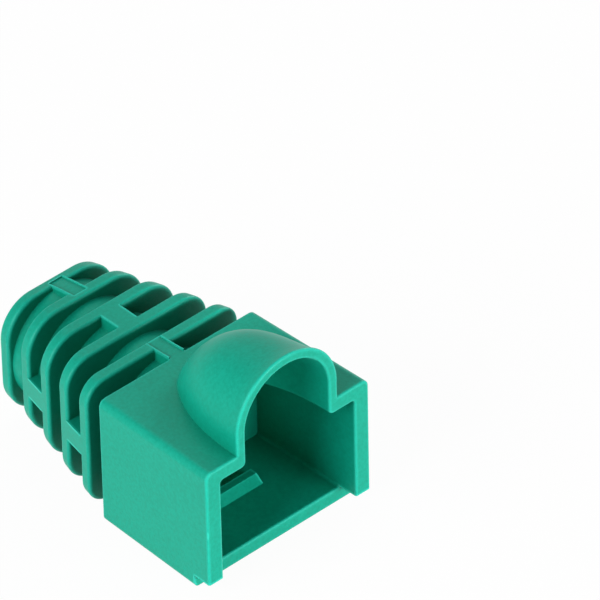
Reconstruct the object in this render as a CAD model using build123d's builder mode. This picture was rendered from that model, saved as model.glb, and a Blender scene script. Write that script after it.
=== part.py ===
from build123d import *
import os

os.makedirs("parts", exist_ok=True)

# Strain relief boot for an eight-way modular plug, moulded as one piece.
# X runs across the boot, Y along the cable from the plug mouth to the cable end, Z up to the hood.
# The origin is on the cable's axis, at the face where the cable leaves. Sizes are in millimetres.

# Housing that slides over the plug
housing_length = 10.8
mouth_width = 14.4
rear_width = 13.85
mouth_height = 10.4
rear_height = 10.2
side_wall = 1.27
shoulder_wall = 1.15
floor_thickness = 1.05
rear_wall = 1.45
top_corner_radius = 0.55
bottom_corner_radius = 0.4
rear_edge_radius = 0.15
inside_corner_radius = 0.25

# Step under the mouth, across the whole width
step_depth = 1.5

# Hood over the plug's latch, lofted through arches that shrink from the mouth to a rounded nose.
# The rises are counted from the housing's top, and the last arch is buried in the housing.
hood_places = [0, 3.0, 6.0, 8.3, 9.5]
hood_radii = [4.45, 4.25, 3.5, 2.25, 1.1]
hood_rises = [6.0, 5.25, 4.3, 2.0, -0.9]
hood_wall = 0.75
hood_nose_wall = 1.0
hood_foot = 3.5

# Catch on the housing's floor
catch_at = 5.3
catch_width = 4.9
catch_height = 0.5
catch_ramp = 0.65
catch_top = 0.6

# Ribs round the cable, counted from the housing
axis_height = 4.9
bore_radius = 3.6
core_wall = 0.85
rib_count = 5
rib_thickness = 1.0
first_gap = 1.4
gap_width = 1.55
rib_edge_radius = 0.22

# Outline of the tail at the housing, at its middle, near its end and at its end
tail_top = 10.3
tail_bottom = 0.0
tail_corner = 1.35
middle_width = 11.6
middle_top = 10.15
middle_bottom = 0.05
middle_corner = 2.45
late_share = 0.76
late_width = 10.2
late_top = 10.0
late_bottom = 0.15
late_corner = 2.8
end_width = 9.3
end_top = 9.45
end_bottom = 0.5
end_corner = 2.75

# Bridges between neighbouring ribs; one pair of the top and bottom ones is wider
narrow_bridge = 1.35
wide_bridge = 1.7
wide_bridge_gap = 2
side_bridge = 1.65

# Shallow marks sunk in the top bridges at both ends of the tail
mark_width = 1.15
mark_depth = 0.1

# Softened edges of the mouth, and of the shoulders under the hood
rim_radius = 0.15
shoulder_radius = 0.4

# Places along Y, and heights from the cable's axis
rib_pitch = rib_thickness + gap_width
tail_length = first_gap + rib_count * rib_pitch - gap_width
rear_y = -tail_length
back_y = rear_y - rear_wall
mouth_y = rear_y - housing_length
base_z = -axis_height
floor_z = base_z + floor_thickness
core_radius = bore_radius + core_wall

# Larger than the boot, for cuts that pass right through it, and far smaller than any of its edges
beyond = 2 * mouth_width
fine = 0.01


def rounded_section(y, width, bottom, top, low_radius, high_radius):
    # Rounded rectangle across the cable at Y = y, its heights counted from the housing's underside
    with BuildSketch(Plane.XZ.offset(-y)) as section:
        with Locations((0, base_z + (bottom + top) / 2)):
            Rectangle(width, top - bottom)
        fillet(section.vertices().group_by(Axis.Y)[0], low_radius)
        fillet(section.vertices().group_by(Axis.Y)[-1], high_radius)
    return section.sketch.face()


def tapered_box(front_y, end_y, front_width, end_width, bottom, front_top, end_top, low_radius, high_radius):
    # Box along the cable with flat sides, its heights counted from the housing's underside.
    # A radius of nought leaves its edges sharp.
    with BuildPart() as box:
        with BuildSketch(Plane.XY):
            with BuildLine():
                Polyline(
                    (-front_width / 2, front_y),
                    (front_width / 2, front_y),
                    (end_width / 2, end_y),
                    (-end_width / 2, end_y),
                    close=True,
                )
            make_face()
        extrude(amount=beyond, both=True)
        with BuildSketch(Plane.YZ):
            with BuildLine():
                Polyline(
                    (front_y, base_z + bottom),
                    (front_y, base_z + front_top),
                    (end_y, base_z + end_top),
                    (end_y, base_z + bottom),
                    close=True,
                )
            make_face()
        extrude(amount=beyond, both=True, mode=Mode.INTERSECT)
        if low_radius:
            long_edges = box.edges().filter_by(lambda edge: edge.bounding_box().size.Y > fine).sort_by(Axis.Z)
            fillet(long_edges[:2], low_radius)
        if high_radius:
            long_edges = box.edges().filter_by(lambda edge: edge.bounding_box().size.Y > fine).sort_by(Axis.Z)
            fillet(long_edges[-2:], high_radius)
    return box.part


def hood_section(at, radius, rise):
    # Arch on two straight legs, that far from the mouth and rising that far over the housing's top
    top = base_z + mouth_height - (mouth_height - rear_height) * at / housing_length
    spring = top + rise - radius
    foot = top - hood_foot
    with BuildSketch(Plane.XZ.offset(-mouth_y - at)) as section:
        with BuildLine():
            ThreePointArc((-radius, spring), (0, spring + radius), (radius, spring))
            Polyline((radius, spring), (radius, foot), (-radius, foot), (-radius, spring))
        make_face()
    return section.sketch.face()


# The tail's outside, which the ribs and bridges are slices of
with BuildPart() as tail:
    loft([
        rounded_section(rear_y, rear_width, tail_bottom, tail_top, tail_corner, tail_corner),
        rounded_section(rear_y / 2, middle_width, middle_bottom, middle_top, middle_corner, middle_corner),
        rounded_section(rear_y * (1 - late_share), late_width, late_bottom, late_top, late_corner, late_corner),
        rounded_section(0, end_width, end_bottom, end_top, end_corner, end_corner),
    ])

ribs = []
bridges = []
for number in range(rib_count):
    rib_front = rear_y + first_gap + number * rib_pitch
    with BuildPart() as rib:
        with BuildSketch(Plane.XZ.offset(-rib_front)):
            Rectangle(beyond, beyond)
        extrude(amount=-rib_thickness)
        add(tail.part, mode=Mode.INTERSECT)
        rims = rib.faces().sort_by(Axis.Y)[0].edges() + rib.faces().sort_by(Axis.Y)[-1].edges()
        fillet(rims, rib_edge_radius)
    ribs.append(rib.part)
    # Top and bottom bridges alternate with side bridges, each ending inside its two neighbours
    gap = first_gap if number == 0 else gap_width
    strip = wide_bridge if number == wide_bridge_gap else narrow_bridge
    with BuildPart() as bridge:
        with BuildSketch(Plane.XZ.offset(-(rib_front - gap - rib_thickness / 2))):
            if number % 2 == 0:
                Rectangle(strip, beyond)
            else:
                Rectangle(beyond, side_bridge)
        extrude(amount=-(gap + rib_thickness))
        add(tail.part, mode=Mode.INTERSECT)
    bridges.append(bridge.part)

# Outside of the housing, and the plug's space in it
low, high, inside = bottom_corner_radius, top_corner_radius, inside_corner_radius
outside = tapered_box(mouth_y, rear_y, mouth_width, rear_width, 0, mouth_height, rear_height, low, high)
with BuildPart() as housing:
    add(outside)
    fillet(housing.faces().sort_by(Axis.Y)[-1].edges(), rear_edge_radius)

# The first bridges run on into the housing's rear wall, where its edge stays square
with BuildPart() as root:
    add(outside)
    with BuildSketch(Plane.XZ.offset(-rear_y)):
        Rectangle(narrow_bridge, beyond)
    extrude(amount=rear_wall, mode=Mode.INTERSECT)
plug_width = mouth_width - 2 * side_wall
plug_top = mouth_height - shoulder_wall
back_width = rear_width - 2 * side_wall
back_top = rear_height - shoulder_wall
lift = floor_thickness
cavity = tapered_box(mouth_y, back_y, plug_width, back_width, lift, plug_top, back_top, inside, inside)

# The side walls' feet stay square in front of the floor, as deep as the step
sill_y = mouth_y + step_depth
sill_width = plug_width + (back_width - plug_width) * step_depth / (back_y - mouth_y)
foot_top = floor_thickness + 2 * inside_corner_radius
feet = tapered_box(mouth_y, sill_y, plug_width, sill_width, lift, foot_top, foot_top, 0, 0)

with BuildPart() as boot:
    add(housing.part)
    add(root.part)
    # Hood
    arches = []
    inner_arches = []
    inner_reach = 1 - hood_nose_wall / hood_places[-1]
    for at, radius, rise in zip(hood_places, hood_radii, hood_rises):
        arches.append(hood_section(at, radius, rise))
        inner_arches.append(hood_section(at * inner_reach, radius - hood_wall, rise - hood_wall))
    loft(arches)
    # Core tube, ribs and bridges
    with BuildSketch(Plane.XZ):
        Circle(core_radius)
    extrude(amount=tail_length)
    add(ribs)
    add(bridges)
    # Space for the plug, open at the mouth, and for its latch under the hood
    add(cavity, mode=Mode.SUBTRACT)
    add(feet, mode=Mode.SUBTRACT)
    loft(inner_arches, mode=Mode.SUBTRACT)
    # Step under the mouth
    with BuildSketch(Plane.XZ.offset(-mouth_y)):
        with Locations((0, base_z)):
            Rectangle(beyond, 2 * floor_thickness)
    extrude(amount=-step_depth, mode=Mode.SUBTRACT)
    # Hole for the cable
    with BuildSketch(Plane.XZ):
        Circle(bore_radius)
    extrude(amount=tail_length + rear_wall, mode=Mode.SUBTRACT)
    # Catch
    catch_front = mouth_y + catch_at
    catch_z = floor_z + catch_height
    with BuildSketch(Plane.YZ):
        with BuildLine():
            Polyline(
                (catch_front, floor_z),
                (catch_front + catch_ramp, catch_z),
                (catch_front + catch_ramp + catch_top, catch_z),
                (catch_front + catch_ramp + catch_top, floor_z),
                close=True,
            )
        make_face()
    extrude(amount=catch_width / 2, both=True)

    # Marks
    first_mark_end = rear_y + first_gap + rib_thickness
    last_mark_end = -rib_thickness / 2
    for mark_start, mark_end in ((rear_y, first_mark_end), (last_mark_end - rib_pitch, last_mark_end)):
        with BuildPart(mode=Mode.PRIVATE) as mark:
            with Locations((0, (mark_start + mark_end) / 2, base_z + mouth_height)):
                Box(mark_width, mark_end - mark_start, mouth_height)
            add(tail.part.moved(Location((0, 0, -mark_depth))), mode=Mode.SUBTRACT)
        add(mark.part, mode=Mode.SUBTRACT)

# Round the shoulders' long edges under the hood, then the floor's front edge and the mouth's rim
ceiling_z = base_z + plug_top
seams = boot.part.edges().filter_by(lambda edge: edge.bounding_box().size.Y > hood_wall)
seams = seams.filter_by(lambda edge: abs(edge.bounding_box().max.Z - ceiling_z) < fine)
softened = boot.part.fillet(shoulder_radius, seams.sort_by(lambda edge: abs(edge.center().X))[:2])
sills = softened.edges().filter_by(Axis.X).filter_by_position(Axis.Z, floor_z - fine, floor_z + fine)
sills = sills.filter_by_position(Axis.Y, sill_y - fine, sill_y + fine)
softened = softened.fillet(rim_radius, sills.sort_by(lambda edge: abs(edge.center().X))[:1])
rim = softened.faces().sort_by(Axis.Y)[0].edges()
softened = softened.fillet(rim_radius, rim.filter_by(lambda edge: edge.bounding_box().max.Z > floor_z + fine))

softened.label = "boot"
export_step(softened, "parts/boot.step")
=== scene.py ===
import bpy
import math
from mathutils import Matrix, Vector


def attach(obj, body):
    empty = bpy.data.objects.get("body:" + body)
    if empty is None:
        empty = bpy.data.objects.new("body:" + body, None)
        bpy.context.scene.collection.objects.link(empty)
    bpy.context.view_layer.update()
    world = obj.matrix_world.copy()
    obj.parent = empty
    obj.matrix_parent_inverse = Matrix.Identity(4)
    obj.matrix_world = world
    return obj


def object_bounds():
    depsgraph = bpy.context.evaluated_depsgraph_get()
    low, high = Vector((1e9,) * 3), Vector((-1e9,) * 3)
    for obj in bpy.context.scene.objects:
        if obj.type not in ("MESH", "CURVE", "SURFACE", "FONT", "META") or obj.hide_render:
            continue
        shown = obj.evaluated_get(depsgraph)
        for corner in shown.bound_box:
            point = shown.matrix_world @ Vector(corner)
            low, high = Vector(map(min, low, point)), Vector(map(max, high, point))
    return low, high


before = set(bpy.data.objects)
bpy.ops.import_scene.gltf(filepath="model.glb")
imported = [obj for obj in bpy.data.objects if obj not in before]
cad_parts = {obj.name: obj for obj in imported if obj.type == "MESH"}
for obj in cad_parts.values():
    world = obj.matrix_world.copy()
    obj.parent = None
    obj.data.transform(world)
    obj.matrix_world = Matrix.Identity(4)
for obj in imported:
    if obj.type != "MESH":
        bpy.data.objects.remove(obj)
cadLow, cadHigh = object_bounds()
mm = 0.001
print("frame loaded:", ", ".join(sorted(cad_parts)))


# Small helpers for modelling
def deselectAll():
    if bpy.context.object and bpy.context.object.mode != "OBJECT":
        bpy.ops.object.mode_set(mode="OBJECT")
    bpy.ops.object.select_all(action="DESELECT")


def pickVertices(piece, test):
    # In edit mode, leaves selected only the vertices whose place passes the test
    bpy.ops.object.mode_set(mode="EDIT")
    bpy.ops.mesh.select_mode(type="VERT")
    bpy.ops.mesh.select_all(action="DESELECT")
    bpy.ops.object.mode_set(mode="OBJECT")
    for vertex in piece.data.vertices:
        vertex.select = test(vertex.co)
    bpy.ops.object.mode_set(mode="EDIT")


# One output socket of a shader node, so that sums and products of sockets read as plain maths
class Wire:
    def __init__(self, tree, socket):
        self.tree = tree
        self.socket = socket

    # Any node: its type, its own settings first, then what its inputs hold or are fed by
    def node(self, kind, settings=None, inputs=None, output=0):
        made = self.tree.nodes.new(kind)
        for name, value in (settings or {}).items():
            setattr(made, name, value)
        for name, value in (inputs or {}).items():
            if isinstance(value, Wire):
                self.tree.links.new(value.socket, made.inputs[name])
            else:
                made.inputs[name].default_value = value
        return Wire(self.tree, made.outputs[output] if made.outputs else None)

    def maths(self, operation, first, second, clamp=False):
        settings = {"operation": operation, "use_clamp": clamp}
        return self.node("ShaderNodeMath", settings, {0: first, 1: second})

    def __add__(self, other):
        return self.maths("ADD", self, other)

    def __radd__(self, other):
        return self.maths("ADD", other, self)

    def __sub__(self, other):
        return self.maths("SUBTRACT", self, other)

    def __rsub__(self, other):
        return self.maths("SUBTRACT", other, self)

    def __mul__(self, other):
        return self.maths("MULTIPLY", self, other)

    def __rmul__(self, other):
        return self.maths("MULTIPLY", other, self)


def emptyTree(owner):
    owner.use_nodes = True
    owner.node_tree.nodes.clear()
    return Wire(owner.node_tree, None)


# Moulded plastic, matt from a spark-eroded mould, with a painted highlight along its outer edges and
# painted shade in its creases
plastic = {
    "deepGreen": (0.002, 0.312, 0.209, 1),
    "lightGreen": (0.004, 0.359, 0.246, 1),
    # The edge colour is a painted highlight on outer edges, not the plastic's own colour
    "edgeHighlightGreen": (0.024, 0.593, 0.452, 1),
    # The crease colour is painted shade in creases and hollows, not the plastic's own colour
    "paintedShadeGreen": (0.001, 0.150, 0.088, 1),
    "clouds": (0.16, 2.0, 0.5),  # patches in a mm, detail, roughness of the pattern
    "flecks": (4.0, 2.0, 0.6),
    "grain": (7.0, 3.0, 0.5),
    "noiseMiddle": 0.5,
    "fleckShare": 3.0,
    "openSamples": 8,
    # Reach, gain, share and rise with height of the painted edge highlight
    "edgeReach": 0.20 * mm,
    "edgeHighlightGain": 4.0,
    "edgeHighlightShare": 0.85,
    "highlightRisePerMm": 4.0,
    # Reach and share of the painted shade in creases and hollows
    "paintedShadeReach": 4.0 * mm,
    "paintedShadeShare": 0.9,
    "softening": 0.05 * mm,
    "softSamples": 6,
    "refraction": 1.48,
    "specular": 0.14,
    "roughness": 0.41,
    "roughnessSwing": 0.14,
    "grainStrength": 0.45,
    "grainHeight": 0.02 * mm,
}


def makePlastic(name):
    material = bpy.data.materials.new(name)
    start = emptyTree(material)
    place = start.node("ShaderNodeTexCoord", output="Object")
    inMm = start.node("ShaderNodeMapping", {}, {"Vector": place, "Scale": (1 / mm, 1 / mm, 1 / mm)})

    def noise(perMm, detail, roughness):
        return start.node(
            "ShaderNodeTexNoise", {},
            {"Vector": inMm, "Scale": perMm, "Detail": detail, "Roughness": roughness},
        )

    def blend(share, first, second):
        return start.node(
            "ShaderNodeMix", {"data_type": "RGBA", "clamp_factor": True},
            {"Factor": share, "A": first, "B": second},
            output="Result",
        )

    # Open share of the surroundings: outside the surface its lack marks creases for painted shade,
    # inside it marks outer edges for a painted highlight
    def openness(reach, inside):
        return start.node(
            "ShaderNodeAmbientOcclusion",
            {"samples": plastic["openSamples"], "inside": inside, "only_local": True},
            {"Distance": reach},
            output="AO",
        )

    # Slow clouds of tint, with a fine fleck over them
    flecks = noise(*plastic["flecks"]) - plastic["noiseMiddle"]
    tint = noise(*plastic["clouds"]) + flecks * plastic["fleckShare"]
    colour = blend(tint, plastic["deepGreen"], plastic["lightGreen"])
    # Painted highlight along outer edges, faded out near the floor so that the underside's edges get
    # none
    outer = 1 - openness(plastic["edgeReach"], True)
    edgeHighlight = start.maths("MULTIPLY", outer, plastic["edgeHighlightGain"], clamp=True)
    height = start.node("ShaderNodeSeparateXYZ", {}, {"Vector": inMm}, output="Z") - cadLow[2] / mm
    highlightAboveFloor = start.maths("MULTIPLY", height, plastic["highlightRisePerMm"], clamp=True)
    colour = blend(edgeHighlight * highlightAboveFloor * plastic["edgeHighlightShare"], colour, plastic["edgeHighlightGreen"])
    # Painted shade: darker colour in creases, rib gaps and the mouth's inside, where little of the
    # surroundings is open
    paintedShade = 1 - openness(plastic["paintedShadeReach"], False)
    colour = blend(paintedShade * plastic["paintedShadeShare"], colour, plastic["paintedShadeGreen"])

    softNormal = start.node(
        "ShaderNodeBevel", {"samples": plastic["softSamples"]},
        {"Radius": plastic["softening"]},
        output="Normal",
    )
    bumped = start.node(
        "ShaderNodeBump", {},
        {
            "Strength": plastic["grainStrength"],
            "Distance": plastic["grainHeight"],
            "Height": noise(*plastic["grain"]),
            "Normal": softNormal,
        },
    )
    shader = start.node(
        "ShaderNodeBsdfPrincipled", {},
        {
            "Base Color": colour,
            "Roughness": plastic["roughness"] + flecks * plastic["roughnessSwing"],
            "Normal": bumped,
            "IOR": plastic["refraction"],
            "Specular IOR Level": plastic["specular"],
        },
    )
    start.node("ShaderNodeOutputMaterial", {}, {"Surface": shader})
    return material


bootGreen = makePlastic("bootGreen")
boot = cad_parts["boot"]
for slot in boot.material_slots:
    slot.material = bootGreen
print("boot: moulded plastic on", len(boot.material_slots), "slot")

# Small burr that the mould left on the mouth's outer left edge, drawn out along that edge
burrPlan = {
    "place": (-7.131 * mm, -23.334 * mm, 0.40 * mm),
    "across": 0.13 * mm,
    "long": 0.76 * mm,
    "cuts": 2,
    "endsFrom": 0.4,  # share of the length, counted from the middle
    "endShare": 0.5,
    "leanFrom": 0.1,  # counted in the same way
    "lean": 0.006 * mm,
    "smoothing": 2,
}


def makeBurr():
    deselectAll()
    bpy.ops.mesh.primitive_cube_add(size=1, location=burrPlan["place"])
    burr = bpy.context.object
    burr.name = "mouth_burr"
    burr.scale = (burrPlan["across"], burrPlan["across"], burrPlan["long"])
    bpy.ops.object.transform_apply(location=True, rotation=True, scale=True)
    middle = burrPlan["place"][2]
    endsFrom = burrPlan["long"] * burrPlan["endsFrom"]
    leanFrom = burrPlan["long"] * burrPlan["leanFrom"]
    bpy.ops.object.mode_set(mode="EDIT")
    bpy.ops.mesh.select_all(action="SELECT")
    bpy.ops.mesh.subdivide(number_cuts=burrPlan["cuts"])
    # Both ends taper off, and the upper third leans back along the mouth
    for side in (-1, 1):
        pickVertices(burr, lambda co: side * (co.z - middle) > endsFrom)
        bpy.ops.transform.resize(value=(burrPlan["endShare"], burrPlan["endShare"], 1))
    pickVertices(burr, lambda co: co.z - middle > leanFrom)
    bpy.ops.transform.translate(value=(burrPlan["lean"], burrPlan["lean"], 0))
    bpy.ops.mesh.select_all(action="SELECT")
    bpy.ops.mesh.normals_make_consistent(inside=False)
    bpy.ops.object.mode_set(mode="OBJECT")
    rounding = burr.modifiers.new("rounding", "SUBSURF")
    rounding.levels = rounding.render_levels = burrPlan["smoothing"]
    bpy.ops.object.modifier_apply(modifier=rounding.name)
    bpy.ops.object.shade_smooth()
    burr.data.materials.append(bootGreen)
    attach(burr, "root")


makeBurr()
print("burr: on the mouth's edge")

# Floor and backdrop: white to the camera and in reflections, with the boot's own shadow kept
floorPlan = {
    "width": 3.0,
    "depth": 3.0,
    "colour": (0.90, 0.90, 0.90, 1),
    "glow": 0.96,
    "white": (1, 1, 1, 1),
}


def whiteShare(start):
    # One for the rays that see the background, straight or in a reflection, nought for lighting rays
    seen = start.node("ShaderNodeLightPath", output="Is Camera Ray")
    for ray in ("Is Glossy Ray", "Is Transmission Ray"):
        seen = start.maths("MAXIMUM", seen, start.node("ShaderNodeLightPath", output=ray))
    return seen


def makeFloor():
    deselectAll()
    bpy.ops.mesh.primitive_plane_add(size=1, location=(0, 0, cadLow[2]))
    floor = bpy.context.object
    floor.name = "floor"
    floor.scale = (floorPlan["width"], floorPlan["depth"], 1)
    bpy.ops.object.transform_apply(location=True, rotation=True, scale=True)
    paper = bpy.data.materials.new("floorPaper")
    start = emptyTree(paper)
    matte = start.node("ShaderNodeBsdfDiffuse", {}, {"Color": floorPlan["colour"]})
    glow = start.node("ShaderNodeEmission", {}, {"Color": floorPlan["white"]})
    mixed = start.node(
        "ShaderNodeMixShader", {},
        {0: whiteShare(start) * floorPlan["glow"], 1: matte, 2: glow},
    )
    start.node("ShaderNodeOutputMaterial", {}, {"Surface": mixed})
    floor.data.materials.append(paper)


makeFloor()

# Lamps stand round the boot, all at one reach from the place that they aim at
studio = {
    "worldGrey": (0.05, 0.05, 0.05, 1),
    "reach": 0.5,
    "aim": (0.0, -0.012, 0.002),
    "lamps": [
        # name, turn from the mouth's side towards the left, tilt above the floor, width, height, watts
        ("sideLeft", 90, 28, 0.36, 0.26, 2.68),
        ("lowFront", -12, 8, 0.30, 0.12, 2.50),
        ("sideRight", -100, 20, 0.30, 0.26, 1.3),
        ("backHigh", -150, 55, 0.30, 0.26, 0.4),
    ],
}


def makeStudio():
    world = bpy.data.worlds.new("studioWorld")
    bpy.context.scene.world = world
    start = emptyTree(world)
    soft = start.node("ShaderNodeBackground", {}, {"Color": studio["worldGrey"]})
    white = start.node("ShaderNodeBackground", {}, {"Color": floorPlan["white"]})
    mixed = start.node("ShaderNodeMixShader", {}, {0: whiteShare(start), 1: soft, 2: white})
    start.node("ShaderNodeOutputWorld", {}, {"Surface": mixed})
    aim = Vector(studio["aim"])
    for name, turn, tilt, width, height, watts in studio["lamps"]:
        lamp = bpy.data.lights.new(name, "AREA")
        lamp.shape = "RECTANGLE"
        lamp.size = width
        lamp.size_y = height
        lamp.energy = watts
        holder = bpy.data.objects.new(name, lamp)
        bpy.context.scene.collection.objects.link(holder)
        level = math.cos(math.radians(tilt))
        away = Vector((
            -math.sin(math.radians(turn)) * level,
            -math.cos(math.radians(turn)) * level,
            math.sin(math.radians(tilt)),
        ))
        holder.location = aim + studio["reach"] * away
        holder.rotation_euler = (-away).to_track_quat("-Z", "Y").to_euler()
    bpy.context.scene.view_settings.view_transform = "Standard"


makeStudio()
print("studio: floor, world and", len(studio["lamps"]), "lamps")

# Camera at the photograph's viewing angle
cameraPlan = {
    "place": (-269.759 * mm, -324.255 * mm, 338.085 * mm),
    "yaw": 42.018,  # degrees from +Y towards +X
    "pitch": 38.554,  # degrees below level
    "roll": -1.253,
    "lens": 483,
    "sensor": 36,
    "farthest": 10,
}


def makeCamera():
    lens = bpy.data.cameras.new("photoView")
    lens.lens = cameraPlan["lens"]
    lens.sensor_width = cameraPlan["sensor"]
    lens.clip_end = cameraPlan["farthest"]
    camera = bpy.data.objects.new("photoView", lens)
    bpy.context.scene.collection.objects.link(camera)
    # A camera looks straight down until it is tipped up
    turn = Matrix.Rotation(-math.radians(cameraPlan["yaw"]), 4, "Z")
    tip = Matrix.Rotation(math.radians(90 - cameraPlan["pitch"]), 4, "X")
    roll = Matrix.Rotation(math.radians(cameraPlan["roll"]), 4, "Z")
    camera.matrix_world = Matrix.Translation(cameraPlan["place"]) @ turn @ tip @ roll
    bpy.context.scene.camera = camera


makeCamera()
print("camera set")
